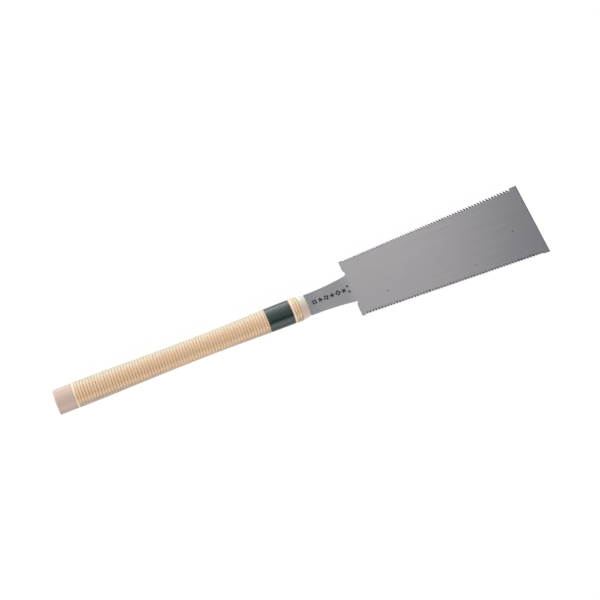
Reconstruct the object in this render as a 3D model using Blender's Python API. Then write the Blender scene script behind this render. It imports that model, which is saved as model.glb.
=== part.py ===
"""Double-edged Japanese pull saw (ryoba): a 240 mm steel blade in a cane-wrapped wooden handle.

The saw lies on its side. +X runs along it from the butt of the handle to the toe of the blade,
+Y points to the rip teeth, +Z is up, and the blade's middle plane is level. The origin is below
the middle of the saw, at its lowest point. Lengths are in metres.
"""

import math

import bmesh
import bpy

# Lengths along the saw.
BLADE_LENGTH = 0.240
NECK_LENGTH = 0.0554
HANDLE_LENGTH = 0.3094
BUTT_LENGTH = 0.02145
NOSE_LENGTH = 0.0095
MOUTH_WRAP_LENGTH = 0.0105
BAND_LENGTH = 0.0300
TANG_LENGTH = 0.105

# Handle section: an oval, given as the half-width over the cane.
BUTT_HALF_WIDTH = 0.0156
WAIST_HALF_WIDTH = 0.0136
FRONT_HALF_WIDTH = 0.0154
THICKNESS_RATIO = 0.76
BUTT_SWELL_AT = 0.015
WAIST_AT = 0.175
FRONT_SWELL_AT = 0.293
FRONT_SWELL_POWER = 1.2

# Wood and band, set in from the cane's outer surface.
BUTT_INSET = 0.0004
BAND_INSET = 0.0002
NOSE_INSET = 0.00055
NOSE_TAPER = 0.00175
NOSE_TAPER_POWER = 1.6
BUTT_EDGE_RADIUS = 0.0012
NOSE_EDGE_RADIUS = 0.0010

# Cane.
CANE_PITCH = 0.003516
CANE_THICKNESS = 0.0010
CANE_SHORTEST = 0.0008
CANE_CREST_SHARE = 0.5

# Blade.
PLATE_THICKNESS = 0.00065
HEEL_HALF_WIDTH = 0.0367
TOE_HALF_WIDTH = 0.0471
NECK_HALF_WIDTH = 0.0136
NECK_FLARE = 0.0040
NECK_FLARE_POWER = 2.2
RELIEF_RADIUS = 0.0030
RELIEF_CENTRE = (-0.0012, 0.0208)
RELIEF_FROM = 65
RELIEF_TO = -70
CORNER_X = 0.0020
CORNER_Y = 0.0176
CORNER_RUN = 0.0042
TANG_HALF_WIDTH = 0.0080
TANG_END_HALF_WIDTH = 0.0045
TANG_POINT_LENGTH = 0.006
TANG_POINT_HALF_WIDTH = 0.0015

# Teeth: length of one tooth at the heel and at the toe, and depth as a share of it.
RIP_PITCH = (0.00285, 0.00407)
RIP_DEPTH_SHARE = 0.80
RIP_LEAN_SHARE = 0.14
RIP_LANDS = (0.0050, 0.0100)
RIP_SET = 0.00012
CROSSCUT_PITCH = (0.00187, 0.00193)
CROSSCUT_DEPTH_SHARE = 0.72
CROSSCUT_LEAN_SHARE = -0.30
CROSSCUT_LANDS = (0.0043, 0.0080)
CROSSCUT_SET = 0.00008
LAND_PROUD = 0.0001
RIM_DEPTH = 0.007
TEETH_PER_CELL = 5

# Meshing and clearance.
GAP = 0.0003
SLOT_END_GAP = 0.001
TURN_SEGMENTS = 16
SEAT_STEP = 0.020
EDGE_STEPS = 3

OVERALL_LENGTH = HANDLE_LENGTH + NECK_LENGTH + BLADE_LENGTH
BUTT_X = -OVERALL_LENGTH / 2
MOUTH_X = BUTT_X + HANDLE_LENGTH
HEEL_X = MOUTH_X + NECK_LENGTH
TOE_X = HEEL_X + BLADE_LENGTH
CANE_START_X = BUTT_X + BUTT_LENGTH
CANE_END_X = MOUTH_X - NOSE_LENGTH
BAND_END_X = CANE_END_X - MOUTH_WRAP_LENGTH
BAND_START_X = BAND_END_X - BAND_LENGTH
CANE_WIDTH = CANE_PITCH - GAP
SEAT_INSET = CANE_THICKNESS + GAP
AXIS_Z = BUTT_HALF_WIDTH * THICKNESS_RATIO
TANG_START_X = MOUTH_X + GAP
TANG_END_X = MOUTH_X - TANG_LENGTH


def clear_scene():
    for obj in list(bpy.data.objects):
        bpy.data.objects.remove(obj, do_unlink=True)


def make_material(name, colour, roughness, metallic=0.0):
    material = bpy.data.materials.new(name)
    material.use_nodes = True
    shader = material.node_tree.nodes["Principled BSDF"]
    shader.inputs["Base Color"].default_value = (*colour, 1.0)
    shader.inputs["Roughness"].default_value = roughness
    shader.inputs["Metallic"].default_value = metallic
    return material


def add_object(name, points, faces, material, parent, smooth_angle=None):
    """A mesh object in the saw's own frame, with its faces turned outward."""
    mesh = bpy.data.meshes.new(name)
    mesh.from_pydata(points, [], faces)
    shape = bmesh.new()
    shape.from_mesh(mesh)
    bmesh.ops.recalc_face_normals(shape, faces=shape.faces)
    shape.to_mesh(mesh)
    shape.free()
    mesh.materials.append(material)
    if smooth_angle is not None:
        mesh.shade_smooth()
        mesh.set_sharp_from_angle(angle=math.radians(smooth_angle))
    obj = bpy.data.objects.new(name, mesh)
    bpy.context.collection.objects.link(obj)
    obj.parent = parent
    return obj


def ease(share):
    """Goes smoothly from 0 to 1, and stays there."""
    share = min(max(share, 0.0), 1.0)
    return 0.5 - 0.5 * math.cos(math.pi * share)


def half_width(x):
    """Half the handle's width over the cane at x: full at both ends, slim at the waist."""
    along = x - BUTT_X
    if along < WAIST_AT:
        rise = ease((WAIST_AT - along) / (WAIST_AT - BUTT_SWELL_AT))
        return WAIST_HALF_WIDTH + (BUTT_HALF_WIDTH - WAIST_HALF_WIDTH) * rise
    share = min((along - WAIST_AT) / (FRONT_SWELL_AT - WAIST_AT), 1.0)
    rise = ease(share**FRONT_SWELL_POWER)
    return WAIST_HALF_WIDTH + (FRONT_HALF_WIDTH - WAIST_HALF_WIDTH) * rise


def section_point(x, inset, angle):
    """A point of the handle's oval section at x, set in from the cane's outer surface."""
    wide = half_width(x)
    y = (wide - inset) * math.cos(angle)
    z = (wide * THICKNESS_RATIO - inset) * math.sin(angle)
    return (x, y, z)


# Handle core


def edge_round(x_end, direction, inset, radius):
    """Stations (x, inset) of a rounded end edge, from the end face inward along direction."""
    stations = []
    for step in range(EDGE_STEPS + 1):
        turn = math.pi / 2 * step / EDGE_STEPS
        x = x_end + direction * radius * (1 - math.cos(turn))
        stations.append((x, inset + radius * (1 - math.sin(turn))))
    return stations


def nose_inset(x):
    share = (x - CANE_END_X) / NOSE_LENGTH
    return NOSE_INSET + NOSE_TAPER * share**NOSE_TAPER_POWER


def core_stations():
    """Stations (x, inset) of the wooden core from the butt's end face to the mouth."""
    stations = edge_round(BUTT_X, 1, BUTT_INSET, BUTT_EDGE_RADIUS)
    stations.append((CANE_START_X, BUTT_INSET))
    seat_steps = round((CANE_END_X - CANE_START_X) / SEAT_STEP)
    for step in range(seat_steps + 1):
        x = CANE_START_X + (CANE_END_X - CANE_START_X) * step / seat_steps
        stations.append((x, SEAT_INSET))
    nose_steps = EDGE_STEPS + 1
    edge_x = MOUTH_X - NOSE_EDGE_RADIUS
    for step in range(nose_steps):
        x = CANE_END_X + (edge_x - CANE_END_X) * step / nose_steps
        stations.append((x, nose_inset(x)))
    mouth_edge = edge_round(MOUTH_X, -1, nose_inset(edge_x), NOSE_EDGE_RADIUS)
    return stations + mouth_edge[::-1]


def make_core_half(name, side, material, parent):
    """One half of the core, above (side 1) or below (side -1) the blade's plane."""
    segments = TURN_SEGMENTS // 2
    points = []
    for x, inset in core_stations():
        for step in range(segments + 1):
            _, y, z = section_point(x, inset, math.pi * step / segments)
            points.append((x, y, side * max(z, GAP / 2)))
    ring = segments + 1
    mating_face = list(range(0, len(points), ring)) + list(range(len(points) - 1, 0, -ring))
    faces = [list(range(ring)), list(range(len(points) - ring, len(points))), mating_face]
    for row in range(len(points) // ring - 1):
        for step in range(segments):
            a = row * ring + step
            faces.append([a, a + 1, a + 1 + ring, a + ring])
    return add_object(name, points, faces, material, parent, smooth_angle=35)


def tang_outline(margin, end_margin):
    """The tang's corners from its root at the mouth to its blunt point, on the +Y side."""
    return [
        (TANG_START_X + margin, TANG_HALF_WIDTH + margin),
        (TANG_END_X + TANG_POINT_LENGTH, TANG_END_HALF_WIDTH + margin),
        (TANG_END_X - end_margin, TANG_POINT_HALF_WIDTH + margin),
    ]


def make_slot_cutter(parent):
    """The room for the tang between the two halves, open at the mouth."""
    side = tang_outline(GAP, SLOT_END_GAP)
    outline = side + [(x, -y) for x, y in reversed(side)]
    half_height = PLATE_THICKNESS / 2 + GAP
    points = [(x, y, -half_height) for x, y in outline]
    points += [(x, y, half_height) for x, y in outline]
    count = len(outline)
    faces = [list(range(count)), list(range(count, 2 * count))]
    for a in range(count):
        b = (a + 1) % count
        faces.append([a, b, b + count, a + count])
    cutter = add_object("slot_cutter", points, faces, make_material("cutter", (1, 0, 0), 0.5), parent)
    cutter.hide_render = True
    cutter.display_type = "WIRE"
    return cutter


def cut(obj, cutter):
    boolean = obj.modifiers.new("tang slot", "BOOLEAN")
    boolean.operation = "DIFFERENCE"
    boolean.solver = "EXACT"
    boolean.object = cutter


# Cane and band


def make_cane(name, x_start, x_end, material, parent):
    """A strip of split cane wound left-handed, its first and last turns pared to end square."""
    first_centre = x_start - CANE_WIDTH / 2 + CANE_SHORTEST
    last_centre = x_end + CANE_WIDTH / 2 - CANE_SHORTEST
    steps = int((last_centre - first_centre) / CANE_PITCH * TURN_SEGMENTS)
    points = []
    for step in range(steps + 1):
        centre = first_centre + CANE_PITCH * step / TURN_SEGMENTS
        angle = -2 * math.pi * step / TURN_SEGMENTS
        back = max(centre - CANE_WIDTH / 2, x_start)
        front = min(centre + CANE_WIDTH / 2, x_end)
        shoulder = (front - back) * (1 - CANE_CREST_SHARE) / 2
        points.append(section_point(back, CANE_THICKNESS, angle))
        points.append(section_point(front, CANE_THICKNESS, angle))
        points.append(section_point(front - shoulder, 0, angle))
        points.append(section_point(back + shoulder, 0, angle))
    faces = [[0, 1, 2, 3], list(range(len(points) - 4, len(points)))]
    for step in range(steps):
        for corner in range(4):
            a = 4 * step + corner
            b = 4 * step + (corner + 1) % 4
            faces.append([a, b, b + 4, a + 4])
    return add_object(name, points, faces, material, parent, smooth_angle=30)


def make_band(material, parent):
    """The thin sleeve on the core between the two lengths of cane."""
    middle_x = (BAND_START_X + BAND_END_X) / 2
    loop = [(x, BAND_INSET) for x in (BAND_START_X, middle_x, BAND_END_X)]
    loop += [(x, CANE_THICKNESS) for x in (BAND_END_X, middle_x, BAND_START_X)]
    points = []
    for x, inset in loop:
        for step in range(TURN_SEGMENTS):
            points.append(section_point(x, inset, 2 * math.pi * step / TURN_SEGMENTS))
    faces = []
    for row in range(len(loop)):
        here = row * TURN_SEGMENTS
        there = (row + 1) % len(loop) * TURN_SEGMENTS
        for step in range(TURN_SEGMENTS):
            after = (step + 1) % TURN_SEGMENTS
            faces.append([here + step, here + after, there + after, there + step])
    return add_object("grip_band", points, faces, material, parent, smooth_angle=35)


# Blade: its outline is given from the heel line, with +Y to the rip teeth.


def edge_line(x):
    """Half the blade's width at x from the heel line, over the lands."""
    return HEEL_HALF_WIDTH + (TOE_HALF_WIDTH - HEEL_HALF_WIDTH) * x / BLADE_LENGTH


def tooth_roots(pitch, lands):
    """Where the gullets lie: the spacing grows evenly from the heel to the toe."""
    length = BLADE_LENGTH - lands[0] - lands[1]
    count = round(length / ((pitch[0] + pitch[1]) / 2))
    growth = (pitch[1] - pitch[0]) / (pitch[0] + pitch[1])
    roots = []
    for index in range(count + 1):
        share = index / count
        roots.append(lands[0] + length * (share + growth * (share * share - share)))
    return roots


class ToothedEdge:
    """One toothed edge: the outline from the heel corner to the toe corner, and its rim cells."""

    def __init__(self, side, pitch, depth_share, lean_share, lands, tooth_set):
        self.side = side
        self.lands = lands
        self.tooth_set = tooth_set
        self.root_xs = tooth_roots(pitch, lands)
        self.depths = []
        for index, x in enumerate(self.root_xs):
            after = self.root_xs[min(index + 1, len(self.root_xs) - 1)]
            before = self.root_xs[max(index - 1, 0)]
            spans = (index > 0) + (index < len(self.root_xs) - 1)
            self.depths.append(depth_share * (after - before) / spans)
        self.lean_share = lean_share

    def root(self, index):
        x = self.root_xs[index]
        return (x, self.side * (edge_line(x) - LAND_PROUD - self.depths[index]))

    def tip(self, index):
        """The point of the tooth between two gullets, leaning toward the handle."""
        pitch = self.root_xs[index + 1] - self.root_xs[index]
        x = self.root_xs[index] - self.lean_share * pitch
        return (x, self.side * (edge_line(x) - LAND_PROUD))

    def land_corners(self):
        """Heel corner, heel land's end, toe land's start and toe corner."""
        xs = (0.0, self.lands[0] - LAND_PROUD, BLADE_LENGTH - self.lands[1] + LAND_PROUD, BLADE_LENGTH)
        return [(x, self.side * edge_line(x)) for x in xs]

    def inner(self, x):
        return (x, self.side * (edge_line(x) - RIM_DEPTH))


class PlateMesh:
    """Collects the plate's faces once, then makes its upper and lower skins and its rim wall."""

    def __init__(self):
        self.points = []
        self.index = {}
        self.offsets = []
        self.faces = []

    def add_point(self, point, offset=0.0):
        key = (round(point[0], 7), round(point[1], 7))
        if key not in self.index:
            self.index[key] = len(self.points)
            self.points.append(point)
            self.offsets.append(offset)
        return self.index[key]

    def add_face(self, corners):
        self.faces.append([self.add_point(corner) for corner in corners])

    def rim_edges(self):
        """The edges that only one face uses, in that face's direction."""
        edges = set()
        for face in self.faces:
            for a, b in zip(face, face[1:] + face[:1]):
                if (b, a) in edges:
                    edges.remove((b, a))
                else:
                    edges.add((a, b))
        return sorted(edges)

    def solid(self, thickness, x_shift):
        count = len(self.points)
        points = []
        for half in (thickness / 2, -thickness / 2):
            for (x, y), offset in zip(self.points, self.offsets):
                points.append((x + x_shift, y, half + offset))
        faces = list(self.faces)
        faces += [[count + corner for corner in reversed(face)] for face in self.faces]
        faces += [[a, a + count, b + count, b] for a, b in self.rim_edges()]
        return points, faces


def add_toothed_rim(plate, edge):
    """Adds an edge's teeth and rim cells, and returns the rim's inner points from heel to toe."""

    def in_order(corners):
        return corners if edge.side > 0 else corners[::-1]

    heel_corner, heel_land, toe_land, toe_corner = edge.land_corners()
    last = len(edge.root_xs) - 1
    for index in range(last):
        sign = 1 if index % 2 else -1
        plate.add_point(edge.tip(index), sign * edge.tooth_set)
        plate.add_face(in_order([edge.root(index + 1), edge.tip(index), edge.root(index)]))
    inner_points = [edge.inner(0.0)]
    cell_starts = list(range(0, last - TEETH_PER_CELL // 2, TEETH_PER_CELL))
    for start, end in zip(cell_starts, cell_starts[1:] + [last]):
        outer = [edge.root(index) for index in range(start, end + 1)]
        inner_x = edge.root_xs[end]
        if start == 0:
            outer = [heel_corner, heel_land] + outer
        if end == last:
            outer = outer + [toe_land, toe_corner]
            inner_x = BLADE_LENGTH
        inner_point = edge.inner(inner_x)
        plate.add_face(in_order([inner_points[-1], inner_point] + outer[::-1]))
        inner_points.append(inner_point)
    return inner_points


def neck_side(side, end_x):
    """The neck's edge from the mouth to end_x: straight at first, then flaring to the blade."""
    points = []
    steps = 8
    for step in range(steps + 1):
        share = step / steps
        x = -NECK_LENGTH + GAP + (NECK_LENGTH - GAP + end_x) * share
        y = NECK_HALF_WIDTH + NECK_FLARE * share**NECK_FLARE_POWER
        points.append((x, side * y))
    return points


def relief_arc():
    """The rounded relief between the neck and the heel, on the rip side."""
    points = []
    steps = 6
    for step in range(steps + 1):
        turn = math.radians(RELIEF_TO + (RELIEF_FROM - RELIEF_TO) * step / steps)
        x = RELIEF_CENTRE[0] + RELIEF_RADIUS * math.cos(turn)
        y = RELIEF_CENTRE[1] + RELIEF_RADIUS * math.sin(turn)
        points.append((x, y))
    return points


def make_blade(material, parent):
    """Toothed plate, neck and tang in one piece of steel."""
    plate = PlateMesh()
    rip = ToothedEdge(1, RIP_PITCH, RIP_DEPTH_SHARE, RIP_LEAN_SHARE, RIP_LANDS, RIP_SET)
    crosscut = ToothedEdge(
        -1, CROSSCUT_PITCH, CROSSCUT_DEPTH_SHARE, CROSSCUT_LEAN_SHARE, CROSSCUT_LANDS, CROSSCUT_SET
    )
    rip_inner = add_toothed_rim(plate, rip)
    crosscut_inner = add_toothed_rim(plate, crosscut)
    tang = [(x - HEEL_X, y) for x, y in tang_outline(0.0, 0.0)]
    relief = relief_arc()
    rip_neck = neck_side(1, relief[0][0])
    crosscut_neck = neck_side(-1, CORNER_X)
    corner = [(CORNER_X, -CORNER_Y), (0.0, -CORNER_Y - CORNER_RUN)]
    lower_side = [(x, -y) for x, y in reversed(tang)] + crosscut_neck[:-1] + corner
    upper_side = tang[::-1] + rip_neck + relief[1:]
    plate.add_face(lower_side + crosscut_inner + rip_inner[::-1] + upper_side[::-1])
    points, faces = plate.solid(PLATE_THICKNESS, HEEL_X)
    return add_object("saw_blade", points, faces, material, parent)


def main():
    clear_scene()
    axis = bpy.data.objects.new("saw_axis", None)
    axis.location = (0.0, 0.0, AXIS_Z)
    bpy.context.collection.objects.link(axis)

    steel = make_material("blade steel", (0.33, 0.33, 0.34), 0.38, 1.0)
    wood = make_material("handle wood", (0.72, 0.56, 0.47), 0.55)
    cane = make_material("split cane", (0.83, 0.66, 0.43), 0.42)
    lacquer = make_material("dark band", (0.018, 0.032, 0.032), 0.22)

    make_blade(steel, axis)
    cutter = make_slot_cutter(axis)
    for name, side in (("handle_core_upper", 1), ("handle_core_lower", -1)):
        cut(make_core_half(name, side, wood, axis), cutter)
    make_cane("rattan_grip_wrap", CANE_START_X + GAP, BAND_START_X - GAP, cane, axis)
    make_cane("rattan_mouth_wrap", BAND_END_X + GAP, CANE_END_X - GAP, cane, axis)
    make_band(lacquer, axis)


main()
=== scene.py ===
"""Looks of the double-edged pull saw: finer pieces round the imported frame, materials, studio and camera.

The saw lies along X, with +X to the toe of the blade, +Y to the rip teeth and +Z up. Lengths are
in metres.
"""

import math

import bmesh
import bpy
from mathutils import Matrix, Vector, noise


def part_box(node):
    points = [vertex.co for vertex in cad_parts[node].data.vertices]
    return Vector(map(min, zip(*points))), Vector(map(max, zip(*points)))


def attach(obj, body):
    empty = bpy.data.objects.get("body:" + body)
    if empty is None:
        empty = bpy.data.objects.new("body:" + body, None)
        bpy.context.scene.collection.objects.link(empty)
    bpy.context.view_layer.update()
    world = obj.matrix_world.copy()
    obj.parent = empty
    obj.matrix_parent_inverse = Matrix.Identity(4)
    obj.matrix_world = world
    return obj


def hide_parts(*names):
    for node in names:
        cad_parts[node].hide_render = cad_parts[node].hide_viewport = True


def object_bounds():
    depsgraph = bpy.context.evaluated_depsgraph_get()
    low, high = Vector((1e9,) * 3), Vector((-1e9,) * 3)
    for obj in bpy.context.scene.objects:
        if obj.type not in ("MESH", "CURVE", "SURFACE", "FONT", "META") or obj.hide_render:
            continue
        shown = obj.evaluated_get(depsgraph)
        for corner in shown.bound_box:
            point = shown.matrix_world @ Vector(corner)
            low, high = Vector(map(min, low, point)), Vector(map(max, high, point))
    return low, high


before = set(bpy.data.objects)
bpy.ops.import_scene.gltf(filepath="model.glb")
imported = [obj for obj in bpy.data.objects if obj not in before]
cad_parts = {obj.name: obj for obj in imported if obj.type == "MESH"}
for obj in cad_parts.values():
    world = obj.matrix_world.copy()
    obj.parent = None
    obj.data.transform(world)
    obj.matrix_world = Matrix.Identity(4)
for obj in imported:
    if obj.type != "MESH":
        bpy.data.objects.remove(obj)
CAD_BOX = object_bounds()

# Places along the saw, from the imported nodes.
BLADE_LOW, BLADE_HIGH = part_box("saw_blade")
CORE_LOW, CORE_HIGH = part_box("handle_core_upper")
GRIP_LOW, GRIP_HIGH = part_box("rattan_grip_wrap")
MOUTH_WRAP_LOW, MOUTH_WRAP_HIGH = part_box("rattan_mouth_wrap")
BAND_LOW, BAND_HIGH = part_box("grip_band")

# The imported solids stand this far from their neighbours.
GAP = 0.0003
BLADE_LENGTH = 0.240
TOE_X = BLADE_HIGH.x
HEEL_X = TOE_X - BLADE_LENGTH
BUTT_X = CORE_LOW.x
MOUTH_X = CORE_HIGH.x
NECK_LENGTH = HEEL_X - MOUTH_X
CANE_START_X = GRIP_LOW.x - GAP
CANE_END_X = MOUTH_WRAP_HIGH.x + GAP
PLATE_HALF = 0.00065 / 2
AXIS_Z = BLADE_LOW.z + (BLADE_HIGH.z - BLADE_LOW.z) / 2

# Handle section: an oval, given as the half-width over the cane.
BUTT_HALF_WIDTH = 0.0156
WAIST_HALF_WIDTH = 0.0136
FRONT_HALF_WIDTH = 0.0154
THICKNESS_RATIO = 0.76
# Distances from the butt.
BUTT_SWELL_AT = 0.015
WAIST_AT = 0.175
FRONT_SWELL_AT = 0.293
FRONT_SWELL_POWER = 1.2

# Wood and band, set in from the cane's outer surface.
BUTT_INSET = 0.0004
BAND_INSET = 0.0002
NOSE_INSET = 0.00055
NOSE_TAPER = 0.00175
NOSE_TAPER_POWER = 1.6
BUTT_EDGE_RADIUS = 0.0012
NOSE_EDGE_RADIUS = 0.0010
GLUE_LINE = 0.00006

# Cane. Its two ends are pared to CANE_SHORTEST along the saw.
CANE_PITCH = 0.003516
CANE_THICKNESS = 0.0010
CANE_SHORTEST = 0.0008

# Blade outline, from the heel line and the saw's axis.
HEEL_HALF_WIDTH = 0.0367
TOE_HALF_WIDTH = 0.0471
NECK_HALF_WIDTH = 0.0136
NECK_FLARE = 0.0040
NECK_FLARE_POWER = 2.2
RELIEF_RADIUS = 0.0030
RELIEF_CENTRE = (-0.0012, 0.0208)
RELIEF_FROM = 65
RELIEF_TO = -70
CORNER_X = 0.0020
CORNER_Y = 0.0176
CORNER_RUN = 0.0042
TANG_LENGTH = 0.105
TANG_HALF_WIDTH = 0.0080
TANG_END_HALF_WIDTH = 0.0045
TANG_POINT_LENGTH = 0.006
TANG_POINT_HALF_WIDTH = 0.0015

# Teeth. Each pair of pitches, lands and gullet shares is for the heel and for the toe.
RIP_PITCH = (0.00285, 0.00407)
RIP_DEPTH_SHARE = 0.80
RIP_LEAN_SHARE = 0.14
RIP_LANDS = (0.0050, 0.0100)
RIP_SET = 0.00012
RIP_BEVEL_SHARE = 0.92
RIP_GULLET_SHARES = (0.12, 0.27)
RIP_TIP_SHARE = 0.12
# Painted light and shade on the rip teeth whose full face and whose filed face is up.
RIP_FACET_LIGHT = (-1.0, -1.0)
RIP_GRIND = 0.0
CROSSCUT_PITCH = (0.00187, 0.00193)
CROSSCUT_DEPTH_SHARE = 0.72
CROSSCUT_LEAN_SHARE = -0.30
CROSSCUT_LANDS = (0.0043, 0.0080)
CROSSCUT_SET = 0.00008
CROSSCUT_BEVEL_SHARE = 0.6
CROSSCUT_GULLET_SHARES = (0.12, 0.12)
CROSSCUT_TIP_SHARE = 0.10
# Painted light and shade on the crosscut teeth: dark painted shade where the full face is up, a bright
# painted highlight where the filed face is up.
CROSSCUT_FACET_LIGHT = (-1.0, 1.0)
CROSSCUT_GRIND = 0.0021
LAND_PROUD = 0.0001
# How far a ground patch narrows, how much its depth varies and how fast it does from tooth to tooth.
GRIND_TAPER = 0.22
GRIND_WANDER = 0.5
GRIND_STEP = 0.71
# How much the teeth's tones, painted light and shade, fade from tooth to tooth, and how fast that varies.
TOOTH_LIGHT_FADE = 0.4
LIGHT_FADE_STEP = 0.83
LIGHT_FADE_SIDE_STEP = 7.1
# The darker strip along the crosscut teeth is full down to the first depth and ends at the second.
HARD_STRIP_DEPTH = (0.0022, 0.0040)


# Mesh helpers


def add_piece(name, points, faces, material, body, replaced, smooth_angle=None):
    """A closed mesh piece about the saw's axis, riding on its body in place of CAD nodes."""
    mesh = bpy.data.meshes.new(name)
    mesh.from_pydata([(x, y, z + AXIS_Z) for x, y, z in points], [], faces)
    shape = bmesh.new()
    shape.from_mesh(mesh)
    bmesh.ops.recalc_face_normals(shape, faces=shape.faces)
    shape.to_mesh(mesh)
    shape.free()
    mesh.materials.append(material)
    if smooth_angle is not None:
        mesh.shade_smooth()
        mesh.set_sharp_from_angle(angle=math.radians(smooth_angle))
    piece = bpy.data.objects.new(name, mesh)
    bpy.context.scene.collection.objects.link(piece)
    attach(piece, body)
    if replaced:
        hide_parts(*replaced)
    return piece


def ease(share):
    """A smooth rise from 0 to 1 as share goes from 0 to 1."""
    share = min(max(share, 0.0), 1.0)
    return 0.5 - 0.5 * math.cos(math.pi * share)


def half_width(x):
    """Half the handle's width over the cane at x: full at both ends, slim at the waist."""
    along = x - BUTT_X
    if along < WAIST_AT:
        rise = ease((WAIST_AT - along) / (WAIST_AT - BUTT_SWELL_AT))
        return WAIST_HALF_WIDTH + (BUTT_HALF_WIDTH - WAIST_HALF_WIDTH) * rise
    share = min((along - WAIST_AT) / (FRONT_SWELL_AT - WAIST_AT), 1.0)
    rise = ease(share**FRONT_SWELL_POWER)
    return WAIST_HALF_WIDTH + (FRONT_HALF_WIDTH - WAIST_HALF_WIDTH) * rise


def section_point(x, inset, angle):
    """A point of the handle's oval section at x, set in from the cane's outer surface."""
    wide = half_width(x)
    return (x, (wide - inset) * math.cos(angle), (wide * THICKNESS_RATIO - inset) * math.sin(angle))


# Handle core


CORE_SEGMENTS = 48
CORE_EDGE_STEPS = 6
CORE_STEP = 0.0025
SEAT_CLEARANCE = 0.00004
SLOT_MARGIN = 0.00008


def edge_round(x_end, direction, inset, radius):
    """Stations (x, inset) of a rounded edge, from the end face at x_end inward in direction."""
    stations = []
    for step in range(CORE_EDGE_STEPS + 1):
        turn = math.pi / 2 * step / CORE_EDGE_STEPS
        x = x_end + direction * radius * (1 - math.cos(turn))
        stations.append((x, inset + radius * (1 - math.sin(turn))))
    return stations


def nose_inset(x):
    """Set-in of the bare wood between the cane's end and the mouth."""
    share = (x - CANE_END_X) / (MOUTH_X - CANE_END_X)
    return NOSE_INSET + NOSE_TAPER * share**NOSE_TAPER_POWER


def run(x_start, x_end, step):
    """Evenly spaced places from x_start to x_end, both included, about step apart."""
    count = max(1, round(abs(x_end - x_start) / step))
    return [x_start + (x_end - x_start) * index / count for index in range(count + 1)]


def core_stations():
    """Stations (x, inset) of the core from the butt's end face to the mouth."""
    seat = CANE_THICKNESS + SEAT_CLEARANCE
    butt = edge_round(BUTT_X, 1, BUTT_INSET, BUTT_EDGE_RADIUS)
    butt += [(x, BUTT_INSET) for x in run(BUTT_X + BUTT_EDGE_RADIUS, CANE_START_X, CORE_STEP)[1:]]
    middle = [(x, seat) for x in run(CANE_START_X, CANE_END_X, CORE_STEP)]
    edge_x = MOUTH_X - NOSE_EDGE_RADIUS
    nose = [(x, nose_inset(x)) for x in run(CANE_END_X, edge_x, CORE_STEP / 2)[:-1]]
    return butt + middle + nose + edge_round(MOUTH_X, -1, nose_inset(edge_x), NOSE_EDGE_RADIUS)[::-1]


def tang_outline(margin):
    """The tang's corners from its root to its blunt point, on the +Y side."""
    return [
        (MOUTH_X, TANG_HALF_WIDTH + margin),
        (MOUTH_X - TANG_LENGTH + TANG_POINT_LENGTH, TANG_END_HALF_WIDTH + margin),
        (MOUTH_X - TANG_LENGTH - margin, TANG_POINT_HALF_WIDTH + margin),
    ]


def make_core_half(name, node, side, material):
    """One half of the core, with its half of the tang's slot sunk in its mating face."""
    low = GLUE_LINE / 2
    points = []
    for x, inset in core_stations():
        for step in range(CORE_SEGMENTS + 1):
            _, y, z = section_point(x, inset, math.pi * step / CORE_SEGMENTS)
            points.append((x, y, side * max(z, low)))
    ring = CORE_SEGMENTS + 1
    last_row = len(points) - ring
    slot = tang_outline(SLOT_MARGIN)
    slot += [(x, -y) for x, y in reversed(slot)]
    rim = list(range(len(points), len(points) + len(slot)))
    floor = [index + len(slot) for index in rim]
    points += [(x, y, side * low) for x, y in slot]
    points += [(x, y, side * (PLATE_HALF + SLOT_MARGIN)) for x, y in slot]

    faces = [list(range(ring)), floor]
    faces.append(list(range(0, last_row + 1, ring)) + rim + list(range(last_row + ring - 1, 0, -ring)))
    faces.append(list(range(last_row, last_row + ring)) + [rim[-1], floor[-1], floor[0], rim[0]])
    for a in range(len(slot) - 1):
        faces.append([rim[a], rim[a + 1], floor[a + 1], floor[a]])
    for row in range(last_row // ring):
        for step in range(CORE_SEGMENTS):
            a = row * ring + step
            faces.append([a, a + 1, a + 1 + ring, a + ring])
    return add_piece(name, points, faces, material, "handle", [node], smooth_angle=40)


# Cane


CANE_SEGMENTS = 60
CANE_PROFILE = 9
CANE_SEAM = 0.00005
CANE_DOME_POWER = 3.5
CANE_EDGE_HEIGHT = 0.62
CANE_WANDER = 0.00007
CANE_WANDER_STEP = 0.9
CANE_HEIGHT_VARIES = 0.00006
CANE_HEIGHT_SHIFT = Vector((0, 0, 9.7))
CANE_MEAN_RADIUS_SHARE = (1 + THICKNESS_RATIO) / 2
STRIP_ATTRIBUTE = "strip"
GRIP_SEED = 1.5
MOUTH_SEED = 4.5


def dome(across):
    """Height of the strip's outer surface as a share of its thickness; across runs from -1 to 1."""
    return CANE_EDGE_HEIGHT + (1 - CANE_EDGE_HEIGHT) * math.sqrt(1 - abs(across) ** CANE_DOME_POWER)


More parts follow.
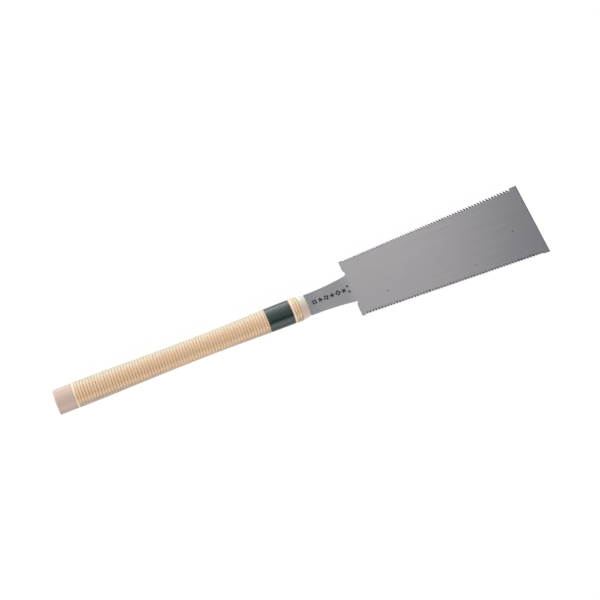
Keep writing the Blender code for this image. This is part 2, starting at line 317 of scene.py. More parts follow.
def make_cane(name, node, x_start, x_end, seed, material):
    """A strip of split cane wound left-handed, with a domed skin and slightly uneven turns.

    Its points carry their place on the strip: along it, across it from -1 to 1, and the turn.
    """
    width = CANE_PITCH - CANE_SEAM
    first_centre = x_start - width / 2 + CANE_SHORTEST
    last_centre = x_end + width / 2 - CANE_SHORTEST
    steps = int((last_centre - first_centre) / CANE_PITCH * CANE_SEGMENTS)
    points = []
    strip_places = []
    along = 0.0
    for step in range(steps + 1):
        turn = step / CANE_SEGMENTS
        angle = -2 * math.pi * turn
        centre = first_centre + CANE_PITCH * turn
        sway = Vector((turn * CANE_WANDER_STEP, seed, 0.5))
        centre += CANE_WANDER * noise.noise(sway)
        dip = CANE_HEIGHT_VARIES * (0.5 + 0.5 * noise.noise(sway + CANE_HEIGHT_SHIFT))
        back = max(centre - width / 2, x_start)
        front = min(centre + width / 2, x_end)
        along += 2 * math.pi * half_width(centre) * CANE_MEAN_RADIUS_SHARE / CANE_SEGMENTS
        for x, across in ((back, -0.5), (front, 0.5)):
            points.append(section_point(x, CANE_THICKNESS, angle))
            strip_places.append((along, across, turn))
        for index in range(CANE_PROFILE):
            across = 1 - 2 * index / (CANE_PROFILE - 1)
            x = (back + front) / 2 + across * (front - back) / 2
            inset = CANE_THICKNESS * (1 - dome(across)) + dip
            points.append(section_point(x, inset, angle))
            strip_places.append((along, across, turn))
    ring = CANE_PROFILE + 2
    faces = [list(range(ring)), list(range(len(points) - ring, len(points)))]
    for step in range(steps):
        for corner in range(ring):
            a = ring * step + corner
            b = ring * step + (corner + 1) % ring
            faces.append([a, b, b + ring, a + ring])
    piece = add_piece(name, points, faces, material, "handle", [node], smooth_angle=50)
    attribute = piece.data.attributes.new(STRIP_ATTRIBUTE, "FLOAT_VECTOR", "POINT")
    for place, value in zip(strip_places, attribute.data):
        value.vector = place
    return piece


# Band


BAND_SEGMENTS = 96
BAND_STEP = 0.00025
BAND_INNER_STEP = 0.002
BAND_EDGE = 0.0004
BAND_RIB_DEPTH = 0.00015
BAND_RIB_PITCH = 0.0025
BAND_INNER_INSET = CANE_THICKNESS


def band_inset(x):
    """Set-in of the band's surface: rounded off at both ends, faintly ribbed toward the front."""
    share = (x - BAND_LOW.x) / (BAND_HIGH.x - BAND_LOW.x)
    rib = 0.5 - 0.5 * math.cos(2 * math.pi * (BAND_HIGH.x - x) / BAND_RIB_PITCH)
    inset = BAND_INSET + BAND_RIB_DEPTH * rib * ease(2 * share - 1)
    from_end = min(x - BAND_LOW.x, BAND_HIGH.x - x)
    if from_end < BAND_EDGE:
        inset += BAND_EDGE * (1 - math.sqrt(1 - (1 - from_end / BAND_EDGE) ** 2))
    return inset


def make_band(material):
    """The band as a thin sleeve: its outer surface and, behind it, a plain inner one."""
    outer = [(x, band_inset(x)) for x in run(BAND_LOW.x, BAND_HIGH.x, BAND_STEP)]
    inner = [(x, BAND_INNER_INSET) for x in run(BAND_HIGH.x, BAND_LOW.x, BAND_INNER_STEP)]
    loop = outer + inner
    points = []
    for x, inset in loop:
        for step in range(BAND_SEGMENTS):
            points.append(section_point(x, inset, 2 * math.pi * step / BAND_SEGMENTS))
    faces = []
    for row in range(len(loop)):
        here = row * BAND_SEGMENTS
        there = (row + 1) % len(loop) * BAND_SEGMENTS
        for step in range(BAND_SEGMENTS):
            after = (step + 1) % BAND_SEGMENTS
            faces.append([here + step, here + after, there + after, there + step])
    return add_piece("band_sleeve", points, faces, material, "handle", ["grip_band"], 50)


# Blade: its outline is given from the heel line, with +Y to the rip teeth.


PLATE_CHAMFER = 0.00005
FACET_LIGHT_ATTRIBUTE = "tone"
ARC_STEPS = 14
NECK_STEPS = 28
MITER_LIMIT = 0.5


def edge_line(x):
    """Half the blade's width at x from the heel line, over the lands."""
    return HEEL_HALF_WIDTH + (TOE_HALF_WIDTH - HEEL_HALF_WIDTH) * x / BLADE_LENGTH


def tooth_roots(pitch, lands):
    """Where the gullets lie: the spacing grows evenly from the heel to the toe."""
    length = BLADE_LENGTH - lands[0] - lands[1]
    count = round(length / ((pitch[0] + pitch[1]) / 2))
    growth = (pitch[1] - pitch[0]) / (pitch[0] + pitch[1])
    roots = []
    for index in range(count + 1):
        share = index / count
        roots.append(lands[0] + length * (share + growth * (share * share - share)))
    return roots


class ToothedEdge:
    """One toothed edge: its gullets, its teeth's points and its two lands.

    The far face of each tooth is filed back to bevel_share of its height: 1 leaves it square.
    Each gullet has a flat floor, its share of the pitch given at the heel and at the toe, and each
    tooth's point a flat of tip_share. The tones are painted light and shade on the teeth whose full
    face and whose filed face is up, for facets that catch the light and those that don't: -1 is dark
    painted shade, 0 as the plate and 1 a bright painted highlight. Under every second tooth the ground
    patch runs on into the plate by grind, flush and painted with that tooth's tone as the shade of a hollow.
    """

    def __init__(
        self, side, pitch, lands, depth_share, lean_share, gullet_shares, tip_share, tooth_set,
        bevel_share, tones, grind,
    ):
        self.side = side
        self.lands = lands
        self.depth_share = depth_share
        self.lean_share = lean_share
        self.gullet_shares = gullet_shares
        self.tip_share = tip_share
        self.tooth_set = tooth_set
        self.bevel_share = bevel_share
        self.tones = tones
        self.grind = grind
        self.root_xs = tooth_roots(pitch, lands)

    def depth(self, index):
        """A gullet's depth, by the mean of the pitches on its two sides."""
        after = self.root_xs[min(index + 1, len(self.root_xs) - 1)]
        before = self.root_xs[max(index - 1, 0)]
        spans = (index > 0) + (index < len(self.root_xs) - 1)
        return self.depth_share * (after - before) / spans

    def root(self, index):
        """The foot of a tooth's front."""
        x = self.root_xs[index]
        return (x, self.side * (edge_line(x) - LAND_PROUD - self.depth(index)))

    def back_foot(self, index):
        """The foot of the tooth's back, at the start of the next gullet's floor."""
        after = self.root_xs[index + 1]
        heel_share, toe_share = self.gullet_shares
        floor_share = heel_share + (toe_share - heel_share) * after / BLADE_LENGTH
        x = after - floor_share * (after - self.root_xs[index])
        return (x, self.side * (edge_line(x) - LAND_PROUD - self.depth(index + 1)))

    def ground(self, index):
        """The inner corners of the ground patch under a tooth: none under the even ones."""
        if index % 2 == 0 or self.grind == 0.0:
            return []
        front, back = self.root(index), self.back_foot(index)
        inset = GRIND_TAPER * (back[0] - front[0])
        wander = noise.noise(Vector((index * GRIND_STEP, self.side, 0.5)))
        depth = self.side * self.grind * (1 + GRIND_WANDER * wander)
        return [(front[0] + inset, front[1] - depth), (back[0] - inset, back[1] - depth)]

    def gullets(self):
        """Every gullet's corners, and the ground patches', between the first and the last root."""
        corners = [self.back_foot(0)]
        for index in range(1, len(self.root_xs) - 1):
            corners += [self.root(index)] + self.ground(index) + [self.back_foot(index)]
        return corners

    def tip(self, index, share):
        """The point, or a place along its flat."""
        pitch = self.root_xs[index + 1] - self.root_xs[index]
        x = self.root_xs[index] + (share * self.tip_share - self.lean_share) * pitch
        return (x, self.side * (edge_line(x) - LAND_PROUD))

    def heel_land(self):
        """From the corner at the heel to the end of the land."""
        return [(x, self.side * edge_line(x)) for x in (0.0, self.lands[0] - LAND_PROUD)]

    def toe_land(self):
        """From the start of the land to the corner at the toe."""
        start = BLADE_LENGTH - self.lands[1] + LAND_PROUD
        return [(x, self.side * edge_line(x)) for x in (start, BLADE_LENGTH)]


def neck_side(side, end_x):
    """The neck's edge from the mouth to end_x: straight at first, then flaring to the blade."""
    points = []
    for step in range(NECK_STEPS + 1):
        share = step / NECK_STEPS
        x = -NECK_LENGTH + GAP + (NECK_LENGTH - GAP + end_x) * share
        points.append((x, side * (NECK_HALF_WIDTH + NECK_FLARE * share**NECK_FLARE_POWER)))
    return points


def relief_arc():
    """The rounded relief between the neck and the heel, on the rip side."""
    x, y = RELIEF_CENTRE
    points = []
    for step in range(ARC_STEPS + 1):
        turn = math.radians(RELIEF_TO + (RELIEF_FROM - RELIEF_TO) * step / ARC_STEPS)
        points.append((x + RELIEF_RADIUS * math.cos(turn), y + RELIEF_RADIUS * math.sin(turn)))
    return points


def inset_path(path, amount):
    """The inner points of an open path moved to its left by amount, all its ends kept."""
    moved = [path[0]]
    for before, here, after in zip(path, path[1:], path[2:]):
        a = (Vector(here) - Vector(before)).normalized()
        b = (Vector(after) - Vector(here)).normalized()
        left = Vector((-a.y - b.y, a.x + b.x)).normalized()
        miter = amount / max(left.dot(Vector((-a.y, a.x))), MITER_LIMIT)
        moved.append((here[0] + left.x * miter, here[1] + left.y * miter))
    return moved + [path[-1]]


class Plate:
    """Collects a plate's outline and builds its skins, bevels and teeth as one closed mesh."""

    def __init__(self, half_thickness, x_shift):
        self.half = half_thickness
        self.x_shift = x_shift
        self.points = []
        self.index = {}
        self.faces = []
        self.tones = {}

    def add_point(self, x, y, z):
        """The number of the point at this place, the same for all its users."""
        key = (round(x, 8), round(y, 8), round(z, 8))
        if key not in self.index:
            self.index[key] = len(self.points)
            self.points.append((x + self.x_shift, y, z))
        return self.index[key]

    def add_face(self, corners, tone=0.0):
        """Adds a face unless so many of its corners coincide that none is left."""
        kept = [a for a, b in zip(corners, corners[1:] + corners[:1]) if a != b]
        if len(set(kept)) > 2:
            self.tones[len(self.faces)] = tone
            self.faces.append(kept)

    def add_bevelled(self, path):
        """A stretch of outline with both its edges lightly chamfered: gives the skins' borders."""
        inner = inset_path(path, PLATE_CHAMFER)
        rows = []
        for index, (edge, skin) in enumerate(zip(path, inner)):
            depth = 0.0 if index in (0, len(path) - 1) else PLATE_CHAMFER
            rows.append(
                [
                    self.add_point(*skin, self.half),
                    self.add_point(*edge, self.half - depth),
                    self.add_point(*edge, depth - self.half),
                    self.add_point(*skin, -self.half),
                ]
            )
        for here, there in zip(rows, rows[1:]):
            for a in range(3):
                self.add_face([here[a], here[a + 1], there[a + 1], there[a]])
        return {1: [row[0] for row in rows], -1: [row[3] for row in rows]}

    def add_teeth(self, edge):
        """Teeth set to alternate sides, each filed to a bevel on the face that it leans away from.

        The plate's own skins, inside the gullets and the ground patches, are left to the caller.
        """
        for index in range(len(edge.root_xs) - 1):
            lean = 1 if index % 2 else -1
            front, back, after = edge.root(index), edge.back_foot(index), edge.root(index + 1)
            middle = ((front[0] + back[0]) / 2, (front[1] + back[1]) / 2)
            shift = lean * edge.tooth_set
            tips = []
            filed = []
            for share in (0, 1):
                point = edge.tip(index, share)
                bevel = [a + (b - a) * edge.bevel_share for a, b in zip(middle, point)]
                tips.append(self.add_point(*point, lean * self.half + shift))
                filed.append(self.add_point(*bevel, -lean * self.half + shift * edge.bevel_share))
            full = [self.add_point(*place, lean * self.half) for place in (front, back, after)]
            short = [self.add_point(*place, -lean * self.half) for place in (front, back, after)]
            # Each tooth's painted light and shade fades by a share that varies from tooth to tooth.
            fading = noise.noise(Vector((index * LIGHT_FADE_STEP, edge.side * LIGHT_FADE_SIDE_STEP, 0.5)))
            fade = min(max(TOOTH_LIGHT_FADE * (0.5 + fading), 0.0), 1.0)
            tone = edge.tones[0 if lean == 1 else 1] * (1 - fade)
            self.add_face([full[0], full[1], tips[1], tips[0]], tone)
            self.add_face([short[0], short[1], filed[1], filed[0]], tone)
            # The flanks of a tooth in painted shade are painted dark as well.
            flank = -1.0 if tone < 0.0 else 0.0
            self.add_face([full[0], tips[0], filed[0], short[0]], flank)
            self.add_face([full[1], tips[1], filed[1], short[1]], flank)
            self.add_face([tips[0], tips[1], filed[1], filed[0]], flank)
            self.add_face([full[1], full[2], short[2], short[1]], flank)
            # The flush ground patch under a tooth takes that tooth's painted shade, as the shade of a
            # hollow.
            patch = [front] + edge.ground(index) + [back]
            for z in (self.half, -self.half):
                self.add_face([self.add_point(*place, z) for place in patch], tone)


def blade_outline(rip, crosscut):
    """The outline between the rows of teeth: a path round the tang and a path round the toe.

    Both run with the steel on their left, from the end of one row to the end of the other.
    """
    relief = relief_arc()
    rip_side = [rip.root(0)] + rip.heel_land()[::-1] + relief[::-1] + neck_side(1, relief[0][0])[-2::-1]
    tang = [(x - HEEL_X, y) for x, y in tang_outline(0.0)]
    tang[0] = (tang[0][0] + GAP, tang[0][1])
    tang += [(x, -y) for x, y in reversed(tang)]
    crosscut_side = neck_side(-1, CORNER_X) + [(0.0, -CORNER_Y - CORNER_RUN)]
    crosscut_side += crosscut.heel_land() + [crosscut.root(0)]
    round_toe = [crosscut.root(len(crosscut.root_xs) - 1)] + crosscut.toe_land()
    round_toe += rip.toe_land()[::-1] + [rip.root(len(rip.root_xs) - 1)]
    return rip_side + tang + crosscut_side, round_toe


def make_blade(material):
    """Toothed plate, neck and tang in one piece of steel."""
    rip = ToothedEdge(
        1, RIP_PITCH, RIP_LANDS, RIP_DEPTH_SHARE, RIP_LEAN_SHARE, RIP_GULLET_SHARES, RIP_TIP_SHARE,
        RIP_SET, RIP_BEVEL_SHARE, RIP_FACET_LIGHT, RIP_GRIND,
    )
    crosscut = ToothedEdge(
        -1, CROSSCUT_PITCH, CROSSCUT_LANDS, CROSSCUT_DEPTH_SHARE, CROSSCUT_LEAN_SHARE,
        CROSSCUT_GULLET_SHARES, CROSSCUT_TIP_SHARE, CROSSCUT_SET, CROSSCUT_BEVEL_SHARE,
        CROSSCUT_FACET_LIGHT, CROSSCUT_GRIND,
    )
    round_tang, round_toe = blade_outline(rip, crosscut)
    plate = Plate(PLATE_HALF, HEEL_X)
    tang_skins = plate.add_bevelled(round_tang)
    toe_skins = plate.add_bevelled(round_toe)
    plate.add_teeth(rip)
    plate.add_teeth(crosscut)
    for side in (1, -1):
        corners = list(tang_skins[side])
        corners += [plate.add_point(*place, side * plate.half) for place in crosscut.gullets()]
        corners += toe_skins[side]
        corners += [plate.add_point(*place, side * plate.half) for place in rip.gullets()[::-1]]
        plate.add_face(corners)
    piece = add_piece(
        "blade_plate", plate.points, plate.faces, material, "blade", ["saw_blade"]
    )
    attribute = piece.data.attributes.new(FACET_LIGHT_ATTRIBUTE, "FLOAT", "FACE")
    for index, tone in plate.tones.items():
        attribute.data[index].value = tone
    return piece


# Marks on the neck: a column of plain stars and grids of crossed bars, with a pair of small ones.
# Places are from the heel line and the saw's axis.


MARK_PITCH = 0.0075
MARK_COUNT = 6
MARK_START = -0.0455
MARK_SIZE = 0.0064
STAR_BARS = ((0, 0.0), (60, 0.0), (120, 0.0))
GRID_BARS = ((0, -0.24), (0, 0.24), (90, -0.24), (90, 0.24))
MARK_TURN = 35
MARK_BAR_SHARE = 0.165
MARK_SINK = 0.00002
MARK_PROUD = 0.000006
MARK_LAYER = 0.00000002
MARK_Y = 0.0007
MARK_PAIR_Y = 0.0036
MARK_PAIR_SIZE = 0.0038
MARK_PAIR_BACK = 0.0016
BAR_SHOULDER = 0.4


def add_prism(points, faces, outline, proud):
    """A flat prism over a convex outline in the blade's plane, just proud of the steel."""
    base = len(points)
    count = len(outline)
    for z in (PLATE_HALF - MARK_SINK, PLATE_HALF + proud):
        points += [(x + HEEL_X, y, z) for x, y in outline]
    faces.append(list(range(base, base + count)))
    faces.append(list(range(base + count, base + 2 * count)))
    for a in range(count):
        b = (a + 1) % count
        faces.append([base + a, base + b, base + b + count, base + a + count])


def bar(x, y, length, width, angle):
    """A bar with pointed ends about (x, y), turned by angle from the blade's length."""
    outline = []
    corners = [(-0.5, 0.0), (-BAR_SHOULDER, -0.5), (BAR_SHOULDER, -0.5)]
    for along, across in corners + [(-along, -across) for along, across in corners]:
        step = Vector((along * length, across * width))
        step.rotate(Matrix.Rotation(math.radians(angle), 2))
        outline.append((x + step.x, y + step.y))
    return outline


def make_marks(material):
    """Grids and stars in turn, each turned a little further than the one before.

    Each bar has an angle from the blade's length and an offset sideways, as a share of the mark.
    """
    places = [(MARK_START + MARK_PITCH * index, MARK_Y, MARK_SIZE) for index in range(MARK_COUNT)]
    pair_x = MARK_START + MARK_PITCH * MARK_COUNT - MARK_PAIR_BACK
    places += [(pair_x, MARK_Y + side * MARK_PAIR_Y, MARK_PAIR_SIZE) for side in (-1, 1)]
    points = []
    faces = []
    for index, (x, y, size) in enumerate(places):
        for start, offset in (GRID_BARS, STAR_BARS)[index % 2]:
            angle = start + MARK_TURN * index
            aside = Vector((0.0, offset * size))
            aside.rotate(Matrix.Rotation(math.radians(angle), 2))
            outline = bar(x + aside.x, y + aside.y, size, size * MARK_BAR_SHARE, angle)
            add_prism(points, faces, outline, MARK_PROUD + MARK_LAYER * len(points))
    return add_piece("neck_marks", points, faces, material, "blade", [])


# Materials


class Graph:
    """A node tree and short calls for the shader nodes that repeat."""

    def __init__(self, owner, shader, **constants):
        owner.use_nodes = True
        self.owner = owner
        self.tree = owner.node_tree
        self.shader = self.tree.nodes[shader]
        for socket, value in constants.items():
            self.shader.inputs[socket.replace("_", " ")].default_value = value

    def feed(self, socket, value):
        """Links an output to the socket, or sets a plain value on it."""
        if isinstance(value, bpy.types.NodeSocket):
            self.tree.links.new(value, socket)
        else:
            socket.default_value = value

    def node(self, kind, inputs, output=0, **settings):
        made = self.tree.nodes.new("ShaderNode" + kind)
        for name, value in settings.items():
            setattr(made, name, value)
        for socket, value in inputs.items():
            self.feed(made.inputs[socket], value)
        return made.outputs[output]

    def place(self, output="Object"):
        return self.node("TexCoord", {}, output=output)

    def attribute(self, name, output="Vector"):
        return self.node("Attribute", {}, output=output, attribute_name=name)

    def stretch(self, vector, scale):
        return self.node("Mapping", {"Vector": vector, "Scale": scale})

    def noise(self, vector, scale, detail=2.0, roughness=0.5):
        inputs = {"Vector": vector, "Scale": scale, "Detail": detail, "Roughness": roughness}
        return self.node("TexNoise", inputs)

    def split(self, vector):
        made = self.tree.nodes.new("ShaderNodeSeparateXYZ")
        self.feed(made.inputs[0], vector)
        return made.outputs

    def math(self, operation, a, b=0.0, c=0.0):
        return self.node("Math", {0: a, 1: b, 2: c}, operation=operation)

    def spread(self, value, low, high, to_low=0.0, to_high=1.0, smooth=False):
        """The value's place between low and high, spread between to_low and to_high and clamped."""
        inputs = {"Value": value, "From Min": low, "From Max": high, "To Min": to_low, "To Max": to_high}
        kind = "SMOOTHSTEP" if smooth else "LINEAR"
        return self.node("MapRange", inputs, interpolation_type=kind)

    def mix(self, share, a, b, blend="MIX"):
        inputs = {0: share, 6: a, 7: b}
        return self.node("Mix", inputs, output=2, data_type="RGBA", blend_type=blend)

    def ramp(self, value, stops):
        """The colour between stops (position, colour), which run from position 0 to position 1."""
        made = self.tree.nodes.new("ShaderNodeValToRGB")
        self.feed(made.inputs[0], value)
        elements = made.color_ramp.elements
        for position, _ in stops[1:-1]:
            elements.new(position)
        for element, (_, colour) in zip(elements, stops):
            element.color = (*colour, 1.0)
        return made.outputs[0]

    def grey(self, level):
        """A value as a colour."""
        return self.node("CombineColor", {0: level, 1: level, 2: level})

    def bump(self, height, distance, strength):
        return self.node("Bump", {"Height": height, "Distance": distance, "Strength": strength})

    def finish(self, **inputs):
        """Feeds the shader's sockets and gives back what the tree belongs to."""
        for socket, value in inputs.items():
            self.feed(self.shader.inputs[socket.replace("_", " ")], value)
        return self.owner


def new_material(name, **constants):
    """The graph of a new material; constants are set on its shader's sockets."""
    return Graph(bpy.data.materials.new(name), "Principled BSDF", **constants)


def rgb(red, green, blue):
    """A display colour from 0 to 255 as the linear colour that a shader takes."""
    linear = []
    for value in (red, green, blue):
        share = value / 255
        linear.append(share / 12.92 if share <= 0.04045 else ((share + 0.055) / 1.055) ** 2.4)
    return (*linear, 1.0)


# Stains on the plate: how far past the heel line, how far from the axis, and the radius.
STAINS = ((0.210, -0.006, 0.0016), (0.040, -0.019, 0.0015), (0.151, -0.029, 0.0010))
STAIN_CORE_SHARE = 0.3
STAIN_STRENGTH = 0.65


def steel_material():
    """Ground sheet steel: fine lengthwise lines, a cooler unpolished neck and a few stains."""
    graph = new_material("ground steel")
    place = graph.place()
    broad = graph.noise(graph.stretch(place, (9, 260, 1)), 1.0, 3.0)
    fine = graph.noise(graph.stretch(place, (45, 2600, 1)), 1.0, 4.0, 0.65)
    cloud = graph.noise(graph.stretch(place, (10, 22, 1)), 1.0, 3.0)
    x, y, _ = graph.split(place)
    on_plate = graph.spread(x, HEEL_X - 0.010, HEEL_X + 0.006, smooth=True)

    # The plate and the neck, with their grinding lines.
    plate = graph.mix(graph.spread(broad, 0.3, 0.7), rgb(169, 168, 170), rgb(177, 175, 176))
    plate = graph.mix(graph.spread(cloud, 0.3, 0.7), plate, rgb(170, 170, 174))
    neck = graph.mix(graph.spread(cloud, 0.3, 0.7), rgb(149, 149, 154), rgb(156, 156, 161))
    # Painted shade on the neck next to the mouth, where the handle's nose shades it.
    mouth_shade = graph.spread(x, MOUTH_X + 0.004, MOUTH_X + 0.018, 0.7, 0.0, smooth=True)
    neck = graph.mix(mouth_shade, neck, rgb(136, 140, 145))
    colour = graph.mix(on_plate, neck, plate)
    lines = graph.spread(fine, 0.3, 0.7, 0.94, 1.04)
    colour = graph.mix(1.0, colour, graph.grey(lines), "MULTIPLY")

    for past_heel, off_axis, radius in STAINS:
        centre = (HEEL_X + past_heel, off_axis, AXIS_Z + PLATE_HALF)
        away = graph.node("VectorMath", {0: place, 1: centre}, output=1, operation="DISTANCE")
        stain = graph.spread(away, radius, radius * STAIN_CORE_SHARE, 0.0, STAIN_STRENGTH, smooth=True)
        colour = graph.mix(stain, colour, rgb(70, 66, 66))

    # A darker hardened strip along the crosscut teeth, from just past the heel.
    rise = (TOE_HALF_WIDTH - HEEL_HALF_WIDTH) / BLADE_LENGTH
    edge_y = graph.math("MULTIPLY_ADD", x, rise, HEEL_HALF_WIDTH - rise * HEEL_X)
    from_edge = graph.math("ADD", y, edge_y)
    hard = graph.spread(from_edge, *HARD_STRIP_DEPTH, 0.10, 0.0, smooth=True)
    hard = graph.math("MULTIPLY", hard, graph.spread(x, HEEL_X + 0.002, HEEL_X + 0.008))
    colour = graph.mix(hard, colour, rgb(112, 114, 118))

    # The teeth's painted light and shade, and the dark edge of the toe.
    tone = graph.attribute(FACET_LIGHT_ATTRIBUTE, "Fac")
    colour = graph.mix(graph.spread(tone, 0, -1), colour, rgb(28, 30, 36))
    colour = graph.mix(graph.spread(tone, 0, 1), colour, rgb(238, 238, 240))
    toe_edge = graph.spread(x, TOE_X - 0.0013, TOE_X - 0.0004, 0.0, 0.8)
    colour = graph.mix(toe_edge, colour, rgb(84, 86, 92))

    ground = graph.spread(fine, 0.3, 0.7, 0.17, 0.25)
    unpolished = graph.spread(on_plate, 0, 1, 0.08, 0)
    height = graph.math("ADD", graph.math("MULTIPLY", broad, 0.4), fine)
    return graph.finish(
        Base_Color=colour,
        # Teeth in bright painted highlight are matt white, not metal.
        Metallic=graph.spread(tone, 0.0, 0.6, 1.0, 0.0),
        Roughness=graph.math("ADD", ground, unpolished),
        Normal=graph.bump(height, 0.000012, 0.6),
    )


def ink_material():
    """Flat black ink, worn grey in places."""
    graph = new_material("stamp ink", Specular_IOR_Level=0.1)
    fade = graph.noise(graph.place(), 900.0, 3.0)
    colour = graph.mix(graph.spread(fade, 0.45, 0.7), rgb(9, 10, 13), rgb(28, 30, 34))
    return graph.finish(Base_Color=colour, Roughness=graph.spread(fade, 0.3, 0.7, 0.5, 0.7))


# The growth rings' pith line runs this far off the saw's axis and below its lowest point.
PITH_Y = -0.041
PITH_Z = -0.062
RINGS_PER_METRE = 620.0
RING_WARP = 1.6


def wood_material():
    """Pale straight-grained wood: growth rings round a pith line below the saw, and fine pores."""
    graph = new_material("pale wood")
    place = graph.place()
    warp = graph.noise(graph.stretch(place, (6, 60, 60)), 1.0, 2.0)
    x, y, z = graph.split(place)
    square_y = graph.math("POWER", graph.math("ADD", y, -PITH_Y), 2.0)
    square_z = graph.math("POWER", graph.math("ADD", z, -PITH_Z), 2.0)
    radius = graph.math("SQRT", graph.math("ADD", square_y, square_z))
    rings = graph.math("MULTIPLY", radius, RINGS_PER_METRE)
    rings = graph.math("ADD", rings, graph.math("MULTIPLY", warp, RING_WARP))
    late = graph.spread(graph.math("FRACT", rings), 0.55, 1.0, smooth=True)
    pores = graph.noise(graph.stretch(place, (120, 3600, 3600)), 1.0, 2.0)
    tone = graph.noise(graph.stretch(place, (14, 70, 70)), 1.0, 2.0)

    colour = graph.mix(graph.spread(tone, 0.3, 0.7), rgb(197, 172, 158), rgb(193, 173, 159))
    # Painted shade on the crosscut side, darker toward the bottom edge of the handle.
    crosscut_side = graph.spread(y, -0.0122, -0.0152, 0.0, 0.8, smooth=True)
    colour = graph.mix(crosscut_side, colour, rgb(156, 141, 132))
    # Painted sheen on the rip side, greyer where the light falls.
    rip_side = graph.spread(y, 0.0080, 0.0135, smooth=True)
    colour = graph.mix(rip_side, colour, rgb(187, 176, 169))
    # Painted light on the nose, lighter toward the rip side.
    nose_painted_light = graph.spread(y, -0.004, 0.010, smooth=True)
    nose = graph.mix(nose_painted_light, rgb(207, 189, 171), rgb(214, 216, 199))
    colour = graph.mix(graph.spread(x, CANE_END_X - 0.01, CANE_END_X), colour, nose)
    colour = graph.mix(graph.math("MULTIPLY", late, 0.35), colour, rgb(186, 155, 138))
    colour = graph.mix(graph.spread(pores, 0.56, 0.75, 0.0, 0.35), colour, rgb(168, 138, 120))

    height = graph.math("ADD", graph.math("MULTIPLY", pores, -0.6), graph.math("MULTIPLY", late, 0.3))
    return graph.finish(
        Base_Color=colour,
        Roughness=graph.spread(pores, 0.3, 0.7, 0.5, 0.62),
        Normal=graph.bump(height, 0.00004, 0.5),
    )


# The line along the handle, toward the crosscut side, where the painted shade on the cane's tan edges is
# strongest.
GROOVE_SHADE_Y = -0.0075


def cane_material():
    """Split rattan: pale glossy skin on the crown, tan edges with painted shade in the grooves, fibres along
    the strip.

    A painted sheen pales the rip side, painted shade greys both rims, and the first turn of each piece is
    painted lighter. The edges and fibres show least on the saw's rip side.
    """
    graph = new_material("split cane", Coat_Weight=0.25, Coat_Roughness=0.25)
    strip = graph.attribute(STRIP_ATTRIBUTE)
    _, across, turn = graph.split(strip)
    _, y, _ = graph.split(graph.place())
    fibres = graph.noise(graph.stretch(strip, (60, 5.5, 0)), 1.0, 3.0, 0.6)
    patches = graph.noise(graph.stretch(strip, (26, 0.5, 0)), 1.0, 2.0)
    # Painted light by side: a painted sheen pales the rip side, painted shade greys the crosscut rim and the
    # rip rim, and the first turn is painted lighter where no neighbour shades it.
    pale = graph.spread(y, -0.0020, 0.0130, smooth=True)
    crosscut_rim = graph.spread(y, -0.0112, -0.0146, smooth=True)
    rip_rim = graph.spread(y, 0.0030, 0.0140, smooth=True)
    first_turn = graph.spread(turn, 0.7, 1.2, 0.8, 0.0)

    crown = graph.mix(graph.spread(patches, 0.3, 0.7), rgb(222, 191, 157), rgb(217, 183, 146))
    crown = graph.mix(pale, crown, rgb(199, 188, 161))
    crown = graph.mix(crosscut_rim, crown, rgb(168, 155, 137))
    crown = graph.mix(rip_rim, crown, rgb(186, 180, 157))
    crown = graph.mix(first_turn, crown, rgb(236, 214, 190))

    fibrous = graph.spread(fibres, 0.5, 0.75, 0.0, 0.3)
    # The fibres show less under the painted sheen.
    fibrous = graph.math("MULTIPLY", fibrous, graph.spread(pale, 0, 1, 1, 0.4))
    colour = graph.mix(fibrous, crown, rgb(203, 162, 121))

    # Tan cut edges with painted shade in the grooves between turns: strongest along a line toward the
    # crosscut side, faint under the painted sheen.
    edge = graph.spread(graph.math("ABSOLUTE", across), 0.35, 1.0, 0.0, 0.6, smooth=True)
    edge = graph.math("MULTIPLY", edge, graph.spread(pale, 0, 1, 1, 0.3))
    from_groove_shade = graph.math("ABSOLUTE", graph.math("ADD", y, -GROOVE_SHADE_Y))
    groove_shade = graph.spread(from_groove_shade, 0.0, 0.0035, 1.5, 1.0, smooth=True)
    colour = graph.mix(graph.math("MULTIPLY", edge, groove_shade), colour, rgb(176, 130, 88))
    return graph.finish(
        Base_Color=colour,
        Roughness=graph.spread(fibres, 0.3, 0.7, 0.36, 0.5),
        Normal=graph.bump(fibres, 0.00004, 0.5),
    )


def band_material():
    """Very dark green, glossy under a thin clear coat."""
    graph = new_material("dark glossy band", Coat_Weight=0.35, Coat_Roughness=0.12)
    place = graph.place()
    smear = graph.noise(graph.stretch(place, (90, 260, 260)), 1.0, 3.0)
    colour = graph.mix(graph.spread(smear, 0.3, 0.7), rgb(5, 36, 35), rgb(10, 44, 42))
    return graph.finish(
        Base_Color=colour,
        Roughness=graph.spread(smear, 0.3, 0.7, 0.2, 0.3),
        Normal=graph.bump(smear, 0.00003, 0.4),
    )


# Studio


FLOOR_HALF_SIZE = 3.0
FLOOR_DROP = 0.0002

# The room's light by how far a direction leans toward +Y from straight up, in degrees.
SKY = (
    (-90, 1.75), (-54, 1.75), (-35, 0.12), (-25, 0.05), (-11, 0.60), (18, 0.78), (28, 1.3),
    (46, 1.48), (58, 2.7), (70, 3.15), (90, 3.3),
)
SKY_PEAK = 3.3
# Its share and tint by the direction's x, from the butt's end of the room to the toe's end.
ENDS = (
    (-1.0, (1.34, 1.33, 1.33)), (0.06, (1.34, 1.33, 1.33)), (0.12, (0.93, 0.92, 0.92)),
    (0.178, (0.76, 0.76, 0.75)), (0.22, (1.40, 1.32, 1.27)), (0.25, (1.40, 1.33, 1.29)),
    (0.30, (0.53, 0.555, 0.60)), (0.34, (0.31, 0.335, 0.375)), (1.0, (0.31, 0.335, 0.375)),
)
ENDS_PEAK = 1.40
FLOOR_GLOW = 0.975
# The way that the table's matt nap faces.
FLOOR_NAP = (0.0, -0.8, 0.6)


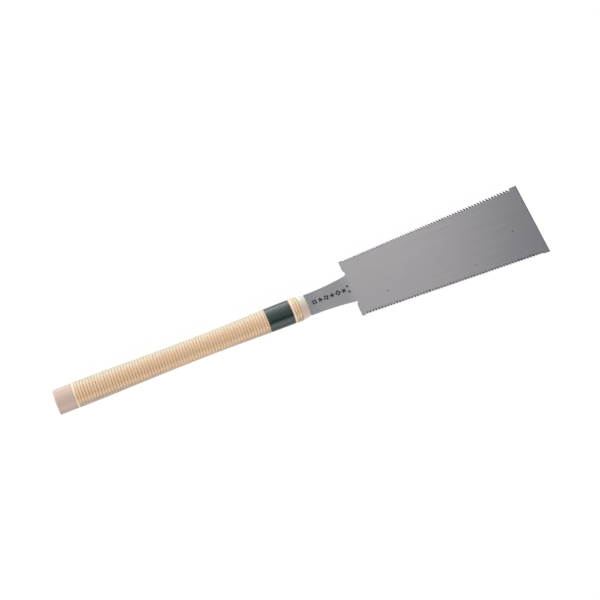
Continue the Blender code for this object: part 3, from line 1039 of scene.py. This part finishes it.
def make_floor():
    """A plain white table under the saw."""
    z = CAD_BOX[0].z - FLOOR_DROP
    corners = [(-1, -1), (1, -1), (1, 1), (-1, 1)]
    mesh = bpy.data.meshes.new("table_top")
    mesh.from_pydata([(x * FLOOR_HALF_SIZE, y * FLOOR_HALF_SIZE, z) for x, y in corners], [], [(0, 1, 2, 3)])
    glow = {"Emission_Color": (1, 1, 1, 1), "Emission_Strength": FLOOR_GLOW}
    graph = new_material("lit white table", Roughness=1.0, **glow)
    nap = graph.node("CombineXYZ", dict(enumerate(FLOOR_NAP)))
    mesh.materials.append(graph.finish(Base_Color=(0.04, 0.04, 0.04, 1), Normal=nap))
    floor = bpy.data.objects.new("table_top", mesh)
    bpy.context.scene.collection.objects.link(floor)


def make_world():
    """A pale room, brighter low down on both sides than overhead, and dimmer toward the toe's end."""
    world = bpy.data.worlds.new("studio")
    bpy.context.scene.world = world
    graph = Graph(world, "Background")
    x, y, z = graph.split(graph.place("Generated"))
    lean = graph.spread(graph.math("ARCTAN2", y, z), -math.pi / 2, math.pi / 2)
    sky = graph.ramp(lean, [((degrees + 90) / 180, (level / SKY_PEAK,) * 3) for degrees, level in SKY])
    tints = [((along + 1) / 2, [level / ENDS_PEAK for level in tint]) for along, tint in ENDS]
    ends = graph.ramp(graph.spread(x, -1, 1), tints)
    room = graph.mix(1.0, sky, ends, "MULTIPLY")
    seen = graph.node("LightPath", {}, output="Is Camera Ray")
    strength = graph.node("Mix", {0: seen, 2: SKY_PEAK * ENDS_PEAK, 3: 1.0})
    graph.finish(Color=graph.mix(seen, room, (1, 1, 1, 1)), Strength=strength)


# Angles are in degrees. The last two lengths shift the camera in its own plane from the heel.
CAMERA_LENS = 72
CAMERA_ELEVATION = 69.32
CAMERA_TURN = 22.43
CAMERA_DISTANCE = 1.418
CAMERA_RIGHT = -0.05934
CAMERA_UP = -0.01316


def make_camera():
    """Looks down on the saw from the crosscut side, turned so that the toe points up and right."""
    elevation = math.radians(CAMERA_ELEVATION)
    turn = math.radians(CAMERA_TURN)
    level = math.cos(elevation)
    back = Vector((-level * math.sin(turn), -level * math.cos(turn), math.sin(elevation)))
    right = Vector((math.cos(turn), -math.sin(turn), 0))
    up = back.cross(right)
    heel = Vector((HEEL_X, 0, AXIS_Z))
    camera = bpy.data.objects.new("camera", bpy.data.cameras.new("camera"))
    camera.data.lens = CAMERA_LENS
    place = heel + right * CAMERA_RIGHT + up * CAMERA_UP + back * CAMERA_DISTANCE
    camera.matrix_world = Matrix.Translation(place) @ Matrix((right, up, back)).transposed().to_4x4()
    bpy.context.scene.collection.objects.link(camera)
    bpy.context.scene.camera = camera


def main():
    """Builds the saw's pieces, its materials, the table, the room and the camera."""
    make_camera()
    steel = steel_material()
    wood = wood_material()
    cane = cane_material()
    make_blade(steel)
    make_marks(ink_material())
    make_core_half("core_upper", "handle_core_upper", 1, wood)
    make_core_half("core_lower", "handle_core_lower", -1, wood)
    make_cane("grip_cane", "rattan_grip_wrap", GRIP_LOW.x, GRIP_HIGH.x, GRIP_SEED, cane)
    make_cane(
        "mouth_cane", "rattan_mouth_wrap", MOUTH_WRAP_LOW.x, MOUTH_WRAP_HIGH.x, MOUTH_SEED, cane
    )
    make_band(band_material())
    make_floor()
    make_world()
    bpy.context.scene.view_settings.view_transform = "Standard"


main()
